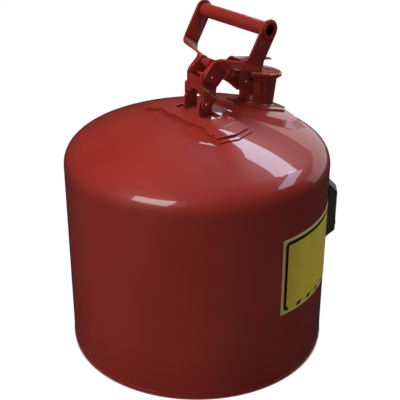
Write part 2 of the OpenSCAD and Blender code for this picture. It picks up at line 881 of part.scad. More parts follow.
module bail_strap() {
    path = [[strap_y, -strap_end_cut], [strap_y, bend_low], [leg_y, bend_high], [leg_y, 2 * leg_len + past]];
    difference() {
        intersection() {
            union() {
                slab(bail_pivot, strap_end_r, knee, strap_neck_w / 2, 0, leg_y + strap_t);
                slab(knee, strap_leg_w / 2, grip_at, strap_leg_w / 2, 0, leg_y + strap_t);
            }
            along_lean(bail_pivot, 60) bent_strip(path, [bend_low_r, bend_high_r], strap_t);
        }
        pin_y(bail_pivot, bail_pin_r + pin_fit, 0, 2 * leg_y);
        pin_y(grip_at, grip_d / 2 - grip_t / 2, 0, 2 * leg_y);
    }
}

module bail_strap_left() {
    color(red) bail_strap();
}

module bail_strap_right() {
    color(red) mirror([0, 1, 0]) bail_strap();
}

module grip_tube() {
    color(red)
        difference() {
            union() {
                pin_y(grip_at, grip_d / 2, -leg_y + strap_t / 2, leg_y - strap_t / 2);
                pin_y(grip_at, grip_d / 2 - grip_t / 2, -leg_y_out - grip_roll_w, leg_y_out + grip_roll_w);
                both_sides() pin_y(grip_at, grip_roll_d / 2, leg_y_out, leg_y_out + grip_roll_w);
            }
            pin_y(grip_at, grip_d / 2 - grip_t, -2 * leg_y, 2 * leg_y);
        }
}

module push_rod() {
    color(red)
        difference() {
            union() {
                pin_y(rod_pivot, rod_eye_r, -rod_eye_y, rod_eye_y);
                at_rod() cylinder(r = rod_r, h = rod_len);
            }
            pin_y(rod_pivot, rod_pin_r + pin_fit, -2 * rod_eye_y, 2 * rod_eye_y);
            pin_y(cross_at, cross_r, -2 * rod_eye_y, 2 * rod_eye_y);
        }
}

module rod_collar() {
    color(dark_red)
        difference() {
            at_rod()
                translate([0, 0, cross_s - collar_t / 2])
                    difference() {
                        cylinder(r = collar_r, h = collar_t);
                        translate([0, 0, -1]) cylinder(r = rod_r, h = collar_t + 2);
                    }
            pin_y(cross_at, cross_r, -2 * collar_r, 2 * collar_r);
        }
}

module cross_pin() {
    color(red) pin_y(cross_at, cross_r, -lever_out - side_fit / 2, lever_out + side_fit / 2);
}

// The web lies parallel to the cap, from behind the hinge to the tip
web_top = hinge + [2, lever_r - 1.2];
web_dir = dir(-cap_tilt);
web_up = dir(90 - cap_tilt);
web_len = (tip_dx - 2) / cos(cap_tilt);
lever_arm_len = 24;
web_half = lever_y + lever_t / 2;

// Side of the lever: hinge boss, rear fork with its slot, front arm
module lever_side() {
    back = unit(cross_at - hinge);
    near = 12.9;
    far = norm(cross_at - hinge) + cross_r + slot_play / 2;
    slot_r = cross_r + slot_play;
    mid = web_top - lever_t / 2 * web_up;
    front = mid + (lever_arm_len - 1.5) * web_dir;
    difference() {
        union() {
            slab(hinge, lever_r, hinge + (far + 0.5) * back, slot_r + 2, lever_y, lever_out, tuck = 0.05);
            across(lever_y, lever_out)
                polygon([
                    mid, front, front - 3.2 * web_up, front - 5.2 * web_up - 2 * web_dir,
                    hinge + (lever_r - 1) * dir(-70), hinge + (lever_r - 1) * dir(-160)
                ]);
        }
        pin_y(hinge, hinge_pin_r + pin_fit, 0, 2 * lever_y);
        slab(hinge + (near + slot_r) * back, slot_r, hinge + (far - cross_r) * back, slot_r, 0, 2 * lever_y);
    }
}

module lever_web() {
    translate([web_top[0], 0, web_top[1]])
        rotate([0, cap_tilt, 0])
            translate([0, 0, -lever_t])
                linear_extrude(lever_t)
                    polygon([
                        [0, -web_half], [lever_arm_len, -web_half], [40, -tip_w / 2 - 1],
                        [web_len - 3, -tip_w / 2], [web_len, -tip_w / 2 + 2], [web_len, tip_w / 2 - 2],
                        [web_len - 3, tip_w / 2], [40, tip_w / 2 + 1], [lever_arm_len, web_half], [0, web_half]
                    ]);
}

module cap_lever() {
    color(red)
        difference() {
            union() {
                both_sides() lever_side();
                lever_web();
            }
            at_rim() cylinder(r = stud_r / 2, h = 4 * past);
        }
}

// Height of the web's underside above the rim, along the stud
web_gap = (web_top - spout_rim) * web_up - lever_t;

module cap_stud() {
    t0 = seal_gap + gasket_t + cap_t;
    color(red)
        at_rim() {
            translate([0, 0, t0]) cylinder(r = stud_r, h = web_gap - t0);
            translate([0, 0, t0]) cylinder(r = stud_r / 2, h = web_gap - t0 + lever_t);
            translate([0, 0, web_gap + lever_t]) cylinder(r1 = stud_r, r2 = stud_r - 1, h = 1.4);
        }
}

module cap() {
    t0 = seal_gap + gasket_t;
    low = seal_gap + 0.3;
    in = cap_r - cap_bead;
    color(red)
        at_rim()
            rotate_extrude()
                polygon([
                    [0, t0], [in, t0], [in, low], [cap_r - 0.5, low], [cap_r, low + 0.5],
                    [cap_r, low + cap_h - 1], [cap_r - 1, low + cap_h], [in, low + cap_h],
                    [in - 1, t0 + cap_t], [0, t0 + cap_t]
                ]);
}

module cap_gasket() {
    color(black)
        at_rim()
            translate([0, 0, seal_gap])
                cylinder(r = cap_r - cap_bead - 0.2, h = gasket_t);
}

can_body();
bottom_pan();
foot_ring();
saddle_plate();
lower_pivot_rivets();
spout_flange();
spout();
flame_arrester();
arrester_ring();
lever_bracket();
lever_hinge_pin();
spring_seat();
seat_pin();
closing_spring();
label_panel();
side_block();
side_block_rivet();
yoke();
bail_pivot_pin();
rod_pivot_pin();
rod_spacers();
bail_strap_left();
bail_strap_right();
grip_tube();
push_rod();
rod_collar();
cross_pin();
cap_lever();
cap_stud();
cap();
cap_gasket();
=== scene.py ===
# %% [markdown]
# # A red safety gas can
# A safety can is a drum of thin steel with a domed top, sprayed all over with gloss
# enamel, its handle linkage and its closing spring too. The solids come from a packed
# model that already has every size and joint. This script gives them their looks:
# softer edges, the round spring wire, the brazed fillet at the spout, and the finishes.

# %% Load the imported model
import json
import math

import bpy
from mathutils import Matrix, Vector


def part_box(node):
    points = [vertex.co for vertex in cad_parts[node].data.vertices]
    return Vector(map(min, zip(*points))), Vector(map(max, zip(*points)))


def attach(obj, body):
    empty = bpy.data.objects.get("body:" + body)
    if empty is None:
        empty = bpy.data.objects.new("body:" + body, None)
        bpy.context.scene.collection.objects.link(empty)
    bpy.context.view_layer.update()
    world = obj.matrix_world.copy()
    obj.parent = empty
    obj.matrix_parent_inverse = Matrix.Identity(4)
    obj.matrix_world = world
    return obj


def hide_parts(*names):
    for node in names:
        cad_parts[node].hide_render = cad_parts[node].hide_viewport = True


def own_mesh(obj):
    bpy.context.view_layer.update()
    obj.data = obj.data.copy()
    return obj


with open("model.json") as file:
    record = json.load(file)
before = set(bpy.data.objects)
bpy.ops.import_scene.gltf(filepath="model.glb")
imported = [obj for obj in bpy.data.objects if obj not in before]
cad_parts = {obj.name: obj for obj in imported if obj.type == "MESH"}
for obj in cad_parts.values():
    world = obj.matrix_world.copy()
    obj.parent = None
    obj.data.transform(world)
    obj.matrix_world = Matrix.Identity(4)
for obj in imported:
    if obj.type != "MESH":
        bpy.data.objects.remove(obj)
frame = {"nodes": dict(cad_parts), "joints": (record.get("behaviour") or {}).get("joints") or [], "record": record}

bpy.context.view_layer.update()
mm = 0.001
print("solids loaded:", len(frame["nodes"]))

# %% [markdown]
# ## Places on the can
# Most places are measured from the solids, so that the new pieces fit whatever the sizes
# are; the spout's place and the braze's radius are given in millimetres. The can stands
# on Z = 0 with its axis on Z. The spout is on the +X side, and all the hinge pins lie
# along Y.

# %% Measure the solids
def middle(node):
    low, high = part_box(node)
    return (low + high) / 2


def size(node):
    low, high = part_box(node)
    return high - low


can_low, can_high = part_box("can_body")
can_r = (can_high.x - can_low.x) / 2
hinge_at = {j["name"]: Vector(j["pos_m"]) for j in frame["joints"]}
print("can radius, mm:", round(can_r / mm, 2))

# %% [markdown]
# ## The camera
# The can is seen from above, from the side away from the spout, a little under a metre
# and a quarter away, with a short telephoto lens. A longer lens from further off would flatten the ellipse
# of the dome, and a shorter one would make the foot look too small.

# %% Place the camera
looking_down = 26.75
looking_round = -40
cam_data = bpy.data.cameras.new("camera")
cam_data.lens = 83.55
cam_data.sensor_width = 36
cam_data.shift_x = 0.0075
camera = bpy.data.objects.new("camera", cam_data)
camera.location = (-0.6551, -0.7807, 0.6937)
camera.rotation_euler = (math.radians(90 - looking_down), 0, math.radians(looking_round))
bpy.context.scene.collection.objects.link(camera)
bpy.context.scene.camera = camera
bpy.context.scene.view_settings.view_transform = "Standard"
print("camera distance, mm:", round(camera.location.length / mm))

# %% [markdown]
# ## Two helpers for materials
# Colours are written as sRGB hex, as a paint chart gives them. Blender mixes light in
# linear values, so one function turns them. Another adds a node, sets it and links it,
# which keeps each finish short enough to read from top to bottom.

# %% Colour and node helpers
def linear(hex_colour):
    """An sRGB hex colour as linear RGBA."""
    out = []
    for k in (1, 3, 5):
        c = int(hex_colour[k:k + 2], 16) / 255
        out.append(c / 12.92 if c <= 0.04045 else ((c + 0.055) / 1.055) ** 2.4)
    return (*out, 1.0)


def add_node(material, kind, settings=None, values=None, links=None):
    """Adds a node to a material. links maps its input to another node's output socket."""
    node = material.node_tree.nodes.new(kind)
    for key, value in (settings or {}).items():
        setattr(node, key, value)
    for key, value in (values or {}).items():
        node.inputs[key].default_value = value
    for key, socket in (links or {}).items():
        material.node_tree.links.new(socket, node.inputs[key])
    return node


def new_material(name):
    """A material with one Principled shader, and that shader."""
    material = bpy.data.materials.new(name)
    material.use_nodes = True
    shader = material.node_tree.nodes["Principled BSDF"]
    return material, shader


def wire(material, socket, shader, name):
    material.node_tree.links.new(socket, shader.inputs[name])


enamel_full = "#9E3027"
enamel_thin = "#962B23"
print("enamel red in linear light:", [round(c, 3) for c in linear(enamel_full)[:3]])

# %% [markdown]
# ## Red enamel
# The can is dipped and sprayed with alkyd enamel and baked. That gives the eye a deep
# red under a clear hard gloss. A sprayed film is never quite flat: it has orange peel, a
# soft ripple some 3 mm across, and its red shifts a little where it lies thicker. Three
# noise patterns do this: one slow one for colour, one for the gloss, and a fine one for
# the ripple. Dust and handling leave it slightly less shiny in patches.

# %% Make the enamel
def red_enamel(name, colour, dark, rough, ripple):
    m, shader = new_material(name)
    place = add_node(m, "ShaderNodeTexCoord")
    # Film thickness changes over about 90 mm.
    film = add_node(m, "ShaderNodeTexNoise", values={"Scale": 1 / 0.09, "Detail": 2.0, "Roughness": 0.5},
                    links={"Vector": place.outputs["Object"]})
    tone = add_node(m, "ShaderNodeValToRGB", links={"Fac": film.outputs["Fac"]})
    tone.color_ramp.elements[0].position = 0.35
    tone.color_ramp.elements[0].color = linear(dark)
    tone.color_ramp.elements[1].position = 0.65
    tone.color_ramp.elements[1].color = linear(colour)
    wire(m, tone.outputs["Color"], shader, "Base Color")
    # Wiped and dusty patches are about 25 mm across.
    patch = add_node(m, "ShaderNodeTexNoise", values={"Scale": 1 / 0.025, "Detail": 4.0},
                     links={"Vector": place.outputs["Object"]})
    gloss = add_node(m, "ShaderNodeMapRange", values={"From Min": 0.3, "From Max": 0.7,
                     "To Min": rough - 0.03, "To Max": rough + 0.05}, links={"Value": patch.outputs["Fac"]})
    wire(m, gloss.outputs["Result"], shader, "Roughness")
    # Orange peel is 3 mm across and a few micrometres deep.
    peel = add_node(m, "ShaderNodeTexNoise", values={"Scale": 1 / 0.003, "Detail": 1.0},
                    links={"Vector": place.outputs["Object"]})
    bump = add_node(m, "ShaderNodeBump", values={"Strength": ripple, "Distance": 0.00004},
                    links={"Height": peel.outputs["Fac"]})
    wire(m, bump.outputs["Normal"], shader, "Normal")
    shader.inputs["IOR"].default_value = 1.5
    shader.inputs["Specular IOR Level"].default_value = 0.3
    shader.inputs["Coat Weight"].default_value = 0.9
    shader.inputs["Coat Roughness"].default_value = 0.03
    return m


red_gloss_enamel = red_enamel("red_baked_enamel", enamel_full, enamel_thin, 0.36, 0.25)
print("made", red_gloss_enamel.name)

# %% [markdown]
# ## The small finishes
# The flame arrester is a tube of perforated, tinned steel, with round holes 3 mm apart.
# The holes are not cut: each is a near-black spot, painted shade for the tube's inside
# seen through it, with a bump at its rim. The seal under the cap is black nitrile rubber, dull and very
# slightly mottled. The side block is injection moulded black polypropylene, with the
# fine spark texture of its mould. Its rivet is zinc plated.

# %% Make rubber, black plastic and zinc
def mottled(name, colour_a, colour_b, grain, rough, metal=0.0, depth=0.00005):
    m, shader = new_material(name)
    place = add_node(m, "ShaderNodeTexCoord")
    noise = add_node(m, "ShaderNodeTexNoise", values={"Scale": 1 / grain, "Detail": 3.0},
                     links={"Vector": place.outputs["Object"]})
    tone = add_node(m, "ShaderNodeValToRGB", links={"Fac": noise.outputs["Fac"]})
    tone.color_ramp.elements[0].position = 0.3
    tone.color_ramp.elements[0].color = linear(colour_a)
    tone.color_ramp.elements[1].position = 0.7
    tone.color_ramp.elements[1].color = linear(colour_b)
    wire(m, tone.outputs["Color"], shader, "Base Color")
    sheen = add_node(m, "ShaderNodeMapRange", values={"To Min": rough - 0.05, "To Max": rough + 0.08},
                     links={"Value": noise.outputs["Fac"]})
    wire(m, sheen.outputs["Result"], shader, "Roughness")
    bump = add_node(m, "ShaderNodeBump", values={"Strength": 0.5, "Distance": depth},
                    links={"Height": noise.outputs["Fac"]})
    wire(m, bump.outputs["Normal"], shader, "Normal")
    shader.inputs["Metallic"].default_value = metal
    return m


nitrile_rubber = mottled("moulded_nitrile_rubber", "#121212", "#1B1A1A", 0.004, 0.65)
black_plastic = mottled("moulded_black_polypropylene", "#454142", "#4F4B4C", 0.0015, 0.3)
zinc_plate = mottled("zinc_plated_steel", "#8F9091", "#A9AAA8", 0.002, 0.32, metal=1.0)
print("made", nitrile_rubber.name, black_plastic.name, zinc_plate.name)

# %% Make the perforated arrester steel
def perforated_steel(name, pitch, hole_r, tube_r):
    m, shader = new_material(name)
    place = add_node(m, "ShaderNodeTexCoord")
    # The holes are laid out round the tube: the angle times the radius, and the height.
    centred = add_node(m, "ShaderNodeMapping", values={"Location": (-middle("flame_arrester").x, 0, 0)},
                       links={"Vector": place.outputs["Object"]})
    axes = add_node(m, "ShaderNodeSeparateXYZ", links={"Vector": centred.outputs["Vector"]})
    turn = add_node(m, "ShaderNodeMath", {"operation": "ARCTAN2"},
                    links={0: axes.outputs["Y"], 1: axes.outputs["X"]})
    around = add_node(m, "ShaderNodeMath", {"operation": "MULTIPLY"}, {1: tube_r}, {0: turn.outputs[0]})
    flat = add_node(m, "ShaderNodeCombineXYZ", links={"X": around.outputs[0], "Y": axes.outputs["Z"]})
    holes = add_node(m, "ShaderNodeTexVoronoi", {"voronoi_dimensions": "2D"},
                     {"Scale": 1 / pitch, "Randomness": 0.0}, {"Vector": flat.outputs["Vector"]})
    hole_share = hole_r / pitch
    soft_rim = 0.06
    steps = {"From Min": hole_share - soft_rim, "From Max": hole_share, "To Min": 0.0, "To Max": 1.0}
    edge = add_node(m, "ShaderNodeMapRange", values=steps, links={"Value": holes.outputs["Distance"]})
    # The ramp's dark end is painted shade: each hole is a near-black spot, not an opening.
    tone = add_node(m, "ShaderNodeValToRGB", links={"Fac": edge.outputs["Result"]})
    tone.color_ramp.elements[0].color = linear("#16130F")
    tone.color_ramp.elements[1].color = linear("#B5B3AC")
    wire(m, tone.outputs["Color"], shader, "Base Color")
    bump = add_node(m, "ShaderNodeBump", values={"Strength": 0.8, "Distance": 0.0004},
                    links={"Height": edge.outputs["Result"]})
    wire(m, bump.outputs["Normal"], shader, "Normal")
    shader.inputs["Metallic"].default_value = 0.85
    shader.inputs["Roughness"].default_value = 0.35
    return m


arrester_steel = perforated_steel("perforated_tinned_steel", 3.0 * mm, 1.0 * mm, 16.0 * mm)
print("made", arrester_steel.name)

# %% [markdown]
# ## The printed panel
# The label place holds a plain yellow vinyl film with a cream margin, a black frame line
# and a row of short slanted bars along its foot, with no words. The film is a strip of a
# cylinder, so its pattern is worked out in two lengths: how far round the can a point
# lies, and its height. The distance to a rounded rectangle then gives the margin and the
# frame, and a repeating ramp gives the bars.

# %% Measure the panel
panel_low, panel_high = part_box("label_panel")
panel_mid_z = (panel_low.z + panel_high.z) / 2
panel_half_h = (panel_high.z - panel_low.z) / 2
panel_ends = [math.atan2(v.co.y, v.co.x) for v in frame["nodes"]["label_panel"].data.vertices]
panel_turn = (min(panel_ends) + max(panel_ends)) / 2
panel_half_w = (max(panel_ends) - min(panel_ends)) / 2 * can_r
print("panel, mm:", round(2 * panel_half_w / mm, 1), "wide,", round(2 * panel_half_h / mm, 1), "high")

# %% Make the printed film
def sum_of(m, operation, a, b=None):
    """One maths node on sockets or numbers, and its output."""
    values, links = {}, {}
    for slot, item in enumerate((a, b)):
        if item is None:
            continue
        if isinstance(item, (int, float)):
            values[slot] = item
        else:
            links[slot] = item
    return add_node(m, "ShaderNodeMath", {"operation": operation}, values, links).outputs[0]


def printed_film(name):
    m, shader = new_material(name)
    place = add_node(m, "ShaderNodeTexCoord")
    axes = add_node(m, "ShaderNodeSeparateXYZ", links={"Vector": place.outputs["Object"]})
    angle = sum_of(m, "ARCTAN2", axes.outputs["Y"], axes.outputs["X"])
    along = sum_of(m, "MULTIPLY", sum_of(m, "SUBTRACT", angle, panel_turn), can_r / mm)
    height = sum_of(m, "MULTIPLY", sum_of(m, "SUBTRACT", axes.outputs["Z"], panel_mid_z), 1 / mm)
    # Distance in millimetres outside a rounded rectangle 6 mm inside the film's edge.
    corner = 4.0
    inset = 6.0
    half_w = panel_half_w / mm
    half_h = panel_half_h / mm
    line_half = 2.2
    side = sum_of(m, "SUBTRACT", sum_of(m, "ABSOLUTE", along), half_w - inset - corner)
    rise = sum_of(m, "SUBTRACT", sum_of(m, "ABSOLUTE", height), half_h - inset - corner)
    side_out = sum_of(m, "MAXIMUM", side, 0.0)
    rise_out = sum_of(m, "MAXIMUM", rise, 0.0)
    round_part = sum_of(m, "SQRT", sum_of(m, "ADD", sum_of(m, "MULTIPLY", side_out, side_out),
                                        sum_of(m, "MULTIPLY", rise_out, rise_out)))
    square_part = sum_of(m, "MINIMUM", sum_of(m, "MAXIMUM", side, rise), 0.0)
    outside = sum_of(m, "SUBTRACT", sum_of(m, "ADD", round_part, square_part), corner)
    frame_line = sum_of(m, "LESS_THAN", sum_of(m, "ABSOLUTE", outside), line_half)
    # The frame is open along the foot, apart from a short turn at each corner.
    foot_rise = 3.2
    corner_run = 5.5
    foot = sum_of(m, "LESS_THAN", height, -half_h + inset + foot_rise)
    mid_run = sum_of(m, "LESS_THAN", sum_of(m, "ABSOLUTE", along), half_w - inset - corner_run)
    open_run = sum_of(m, "MULTIPLY", foot, mid_run)
    frame_line = sum_of(m, "MULTIPLY", frame_line, sum_of(m, "SUBTRACT", 1.0, open_run))
    # Slanted bars every 20 mm, 4.6 mm high, fill the open run.
    bar_pitch = 20.0
    bar_lean = 0.8
    bar_start = 100.12
    bar_share = 0.42
    bar_half_h = 2.3
    bar_drop = 0.6
    bar_end = 12.0
    lean = sum_of(m, "SUBTRACT", along, sum_of(m, "MULTIPLY", height, bar_lean))
    step = sum_of(m, "FRACT", sum_of(m, "ADD", sum_of(m, "DIVIDE", lean, bar_pitch), bar_start))
    bar = sum_of(m, "LESS_THAN", step, bar_share)
    above_bar = sum_of(m, "ADD", height, half_h - inset + bar_drop)
    bar_z = sum_of(m, "LESS_THAN", sum_of(m, "ABSOLUTE", above_bar), bar_half_h)
    bar_run = sum_of(m, "LESS_THAN", sum_of(m, "ABSOLUTE", along), half_w - inset - bar_end)
    bars = sum_of(m, "MULTIPLY", sum_of(m, "MULTIPLY", bar, bar_z), bar_run)
    black = sum_of(m, "MAXIMUM", frame_line, bars)
    # The cream margin is the bare film outside the yellow ink.
    margin_w = 3.0
    side_edge = sum_of(m, "SUBTRACT", sum_of(m, "ABSOLUTE", along), half_w - margin_w)
    rise_edge = sum_of(m, "SUBTRACT", sum_of(m, "ABSOLUTE", height), half_h - margin_w)
    margin = sum_of(m, "GREATER_THAN", sum_of(m, "MAXIMUM", side_edge, rise_edge), 0.0)
    # Printed ink is a little uneven over 12 mm.
    ink = add_node(m, "ShaderNodeTexNoise", values={"Scale": 1 / 0.012, "Detail": 3.0},
                   links={"Vector": place.outputs["Object"]})
    yellow = add_node(m, "ShaderNodeValToRGB", links={"Fac": ink.outputs["Fac"]})
    yellow.color_ramp.elements[0].color = linear("#D6B01C")
    yellow.color_ramp.elements[1].color = linear("#E2BD28")
    with_margin = add_node(m, "ShaderNodeMix", {"data_type": "RGBA"}, {"B": linear("#D9C088")},
                           {"Factor": margin, "A": yellow.outputs["Color"]})
    # A fault to be mended: this is a painted sheen, a painted highlight in the base colour
    # that lifts the colour where the film turns away from the view. It has no physical
    # cause, slides in other views and may not survive an export. With the three nodes
    # below deleted, the margin's colour goes straight to the mix with black.
    away = add_node(m, "ShaderNodeLayerWeight", values={"Blend": 0.5})
    painted_sheen_share = add_node(m, "ShaderNodeMapRange",
                    values={"From Min": 0.38, "From Max": 0.55, "To Min": 0.0, "To Max": 1.0},
                    links={"Value": away.outputs["Facing"]})
    # The next node mixes in the painted sheen: a paler yellow where the film turns away from the view.
    pale = add_node(m, "ShaderNodeMix", {"data_type": "RGBA", "blend_type": "SCREEN"}, {"B": linear("#E8C83C")},
                    {"Factor": painted_sheen_share.outputs["Result"], "A": with_margin.outputs["Result"]})
    with_black = add_node(m, "ShaderNodeMix", {"data_type": "RGBA"}, {"B": linear("#0E0D0A")},
                          {"Factor": black, "A": pale.outputs["Result"]})
    wire(m, with_black.outputs["Result"], shader, "Base Color")
    shader.inputs["Sheen Weight"].default_value = 0.1
    shader.inputs["Sheen Roughness"].default_value = 0.4
    shader.inputs["Sheen Tint"].default_value = linear("#E6D070")
    grain = add_node(m, "ShaderNodeTexNoise", values={"Scale": 1 / 0.002, "Detail": 2.0},
                     links={"Vector": place.outputs["Object"]})
    bump = add_node(m, "ShaderNodeBump", values={"Strength": 0.3, "Distance": 0.00003},
                    links={"Height": grain.outputs["Fac"]})
    wire(m, bump.outputs["Normal"], shader, "Normal")
    gloss = add_node(m, "ShaderNodeMapRange", values={"To Min": 0.3, "To Max": 0.45},
                     links={"Value": ink.outputs["Fac"]})
    wire(m, gloss.outputs["Result"], shader, "Roughness")
    return m


vinyl_film = printed_film("printed_vinyl_film")
print("made", vinyl_film.name)

# %% [markdown]
# ## Finishes on the solids
# A solid whose shape is right stays as it is and only gets its finish. Each one already
# has a material slot, so the new material is put in that slot.

# %% Give each solid its finish
finish_of_slot = {
    "red_paint": red_gloss_enamel, "steel": zinc_plate, "gasket": nitrile_rubber,
    "panel": vinyl_film, "black_plastic": black_plastic,
}
for part in frame["record"]["subparts"]:
    name = part.get("node") or part.get("name")
    for place in frame["nodes"][name].material_slots:
        place.material = finish_of_slot[part["material_slot"]]
for place in frame["nodes"]["flame_arrester"].material_slots:
    place.material = arrester_steel

# %% [markdown]
# ## Helpers for modelling
# An operator acts on everything that is selected, so each step first clears the
# selection and picks one piece. Every piece ends with its place in its mesh, which keeps
# its object at the origin.

# %% Selection and modifier helpers
def pick(piece):
    if bpy.context.object and bpy.context.object.mode != "OBJECT":
        bpy.ops.object.mode_set(mode="OBJECT")
    bpy.ops.object.select_all(action="DESELECT")
    piece.select_set(True)
    bpy.context.view_layer.objects.active = piece


def settle(piece):
    """Puts a piece's place, turn and size into its mesh."""
    pick(piece)
    bpy.ops.object.transform_apply(location=True, rotation=True, scale=True)


def apply_all(piece):
    pick(piece)
    for modifier in list(piece.modifiers):
        bpy.ops.object.modifier_apply(modifier=modifier.name)


def dress(piece, material, body):
    piece.data.materials.clear()
    piece.data.materials.append(material)
    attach(piece, body)
    return piece


body_of = {n: b for b, ns in frame["record"]["behaviour"]["bodies"].items() for n in ns}
print("bodies:", sorted(set(body_of.values())))

# %% [markdown]
# ## Softer edges on the stamped sheet
# The yoke, the straps, the saddle plate, the lever and its bracket are stamped from
# sheet. On the real ones the press rounds each edge a little, and the enamel builds up on
# it, so every edge catches a thin line of light. A solid has knife edges. The way chosen
# is to copy it, join its loose triangles into flat faces, and bevel every sharp edge by a
# few tenths of a millimetre. The foot ring, grip tube, cap, spout and flange get the same,
# and the moulded side block a full millimetre.

# %% Soften the sheet parts
fine_merge = 0.00001
coarse_merge = 0.00005


def softened(node, width, name, merge):
    """A copy of a solid with its sharp edges rounded over width."""
    source = frame["nodes"][node]
    piece = bpy.data.objects.new(name, source.data.copy())
    bpy.context.scene.collection.objects.link(piece)
    pick(piece)
    bpy.ops.mesh.customdata_custom_splitnormals_clear()
    bpy.ops.object.mode_set(mode="EDIT")
    bpy.ops.mesh.select_all(action="SELECT")
    bpy.ops.mesh.remove_doubles(threshold=merge)
    bpy.ops.mesh.dissolve_limited(angle_limit=math.radians(0.4))
    bpy.ops.object.mode_set(mode="OBJECT")
    bevel = piece.modifiers.new("edge", "BEVEL")
    bevel.width = width
    bevel.segments = 2
    bevel.limit_method = "ANGLE"
    bevel.angle_limit = math.radians(38)
    bevel.use_clamp_overlap = False
    bevel.harden_normals = True
    apply_all(piece)
    bpy.ops.object.shade_smooth_by_angle(angle=math.radians(35))
    material = source.material_slots[0].material
    dress(piece, material, body_of[node])
    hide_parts(node)
    return piece


soft_edges = {
    "yoke": 0.45, "bail_strap_left": 0.5, "bail_strap_right": 0.5, "saddle_plate": 0.5,
    "cap_lever": 0.35, "lever_bracket": 0.4, "side_block": 1.0, "foot_ring": 0.3,
    "grip_tube": 0.4, "cap": 0.4, "spout": 0.35, "spout_flange": 0.4,
}
for node, width in soft_edges.items():
    merge = coarse_merge if node == "saddle_plate" else fine_merge
    piece = softened(node, width * mm, "stamped_" + node, merge)
    print(piece.name, "faces:", len(piece.data.polygons))

# %% [markdown]
# ## The closing spring
# The spring is round wire wound into a coil, with its two ends cut square. A coil could
# be a curve with a bevel, but the wire's section is easier to see as a mesh: a small
# circle is placed beside an axis, and the Screw modifier carries it round and up. The
# coil is then turned to lie along the push rod. When the yoke tilts, the collar presses
# the spring towards its seat, but this coil is fixed to the can and keeps its length.
# Its turns would touch at about 11 degrees of tilt, a little before the joint's limit.

# %% Measure the spring
rod_at = hinge_at["rod_pivot"]
coil_low, coil_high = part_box("closing_spring")
coil_mid = (coil_low + coil_high) / 2
rod_way = Vector((coil_mid.x - rod_at.x, 0, coil_mid.z - rod_at.z)).normalized()
along_rod = [(v.co - rod_at).dot(rod_way) for v in frame["nodes"]["closing_spring"].data.vertices]
wire_r = 0.9 * mm
coil_r = size("closing_spring").y / 2 - wire_r
coil_start, coil_end = min(along_rod) + wire_r, max(along_rod) - wire_r
turns = 6.5
wire_sides = 12
steps_per_turn = 28
print("coil radius, mm:", round(coil_r / mm, 2), "length, mm:", round((coil_end - coil_start) / mm, 1))

# %% Wind the spring
bpy.ops.object.select_all(action="DESELECT")
bpy.ops.mesh.primitive_circle_add(vertices=wire_sides, radius=wire_r, location=(coil_r, 0, 0),
                                  rotation=(math.radians(90), 0, 0))
spring = bpy.context.object
spring.name = "round_wire_spring"
settle(spring)
winding = spring.modifiers.new("winding", "SCREW")
winding.angle = 2 * math.pi * turns
winding.screw_offset = coil_end - coil_start
winding.steps = winding.render_steps = int(steps_per_turn * turns)
winding.use_merge_vertices = False
apply_all(spring)
bpy.ops.object.mode_set(mode="EDIT")
bpy.ops.mesh.select_all(action="DESELECT")
bpy.ops.mesh.select_mode(type="EDGE")
bpy.ops.mesh.select_non_manifold()
bpy.ops.mesh.edge_face_add()
bpy.ops.mesh.select_all(action="SELECT")
bpy.ops.mesh.normals_make_consistent(inside=False)
bpy.ops.object.mode_set(mode="OBJECT")
spring.rotation_euler = (0, math.atan2(rod_way.x, rod_way.z), 0)
spring.location = rod_at + coil_start * rod_way
settle(spring)
bpy.ops.object.shade_smooth_by_angle(angle=math.radians(40))
dress(spring, red_gloss_enamel, "can")
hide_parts("closing_spring")
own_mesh(spring)

# %% [markdown]
# ## The brazed joint at the spout
# The spout is a drawn tube brazed to its flange. The braze leaves a small smooth fillet
# all round its foot, which shows as a bright thread under the enamel. A torus laid in
# the plane of the flange gives it, half sunk into both parts.

# %% Braze the spout's foot
spout_x = 95 * mm
fillet_r = 22.0 * mm
fillet_thick = 1.5 * mm
sunk = 0.1 * mm
band = 1.5 * mm
end_reach = 19 * mm
ring = [v.co.copy() for v in frame["nodes"]["spout_flange"].data.vertices
        if fillet_r - band < math.hypot(v.co.x - spout_x, v.co.y) < fillet_r + band]
rear_top = max((p for p in ring if p.x < spout_x - end_reach), key=lambda p: p.z)
front_top = max((p for p in ring if p.x > spout_x + end_reach), key=lambda p: p.z)
tilt = math.atan2(rear_top.z - front_top.z, front_top.x - rear_top.x)
foot_mid = (rear_top + front_top) / 2
print("flange slope at the spout, degrees:", round(math.degrees(tilt), 1))
bpy.ops.object.select_all(action="DESELECT")
bpy.ops.mesh.primitive_torus_add(major_radius=fillet_r, minor_radius=fillet_thick,
                                 major_segments=96, minor_segments=14)
braze = bpy.context.object
braze.name = "brazed_fillet"
braze.rotation_euler = (0, tilt, 0)
braze.location = (foot_mid.x, 0, foot_mid.z - sunk)
settle(braze)
bpy.ops.object.shade_smooth()
dress(braze, red_gloss_enamel, "can")
print("fillet at, mm:", [round(c / mm, 1) for c in foot_mid])

# %% [markdown]
# ## Lamps, flags and floor
# Three lamps light the can and are hidden from reflections: a big one overhead, a weaker
# one at the left and one at the right. A glossy can shows whatever stands round it, so a
# photographer hangs black cloth about it and leaves only the windows bright. Here that
# cloth is a tent that only reflections see. Four windows show in the gloss and light
# nothing, which real windows can't do: a front one, a long one, a low pane and a small
# one. One wide wall of light behind the can does both and gives the dome its pale flank.

# %% Hang the lamps
centre = (0, 0, 0.25)
sky_tint = (0.68, 0.82, 1.0)


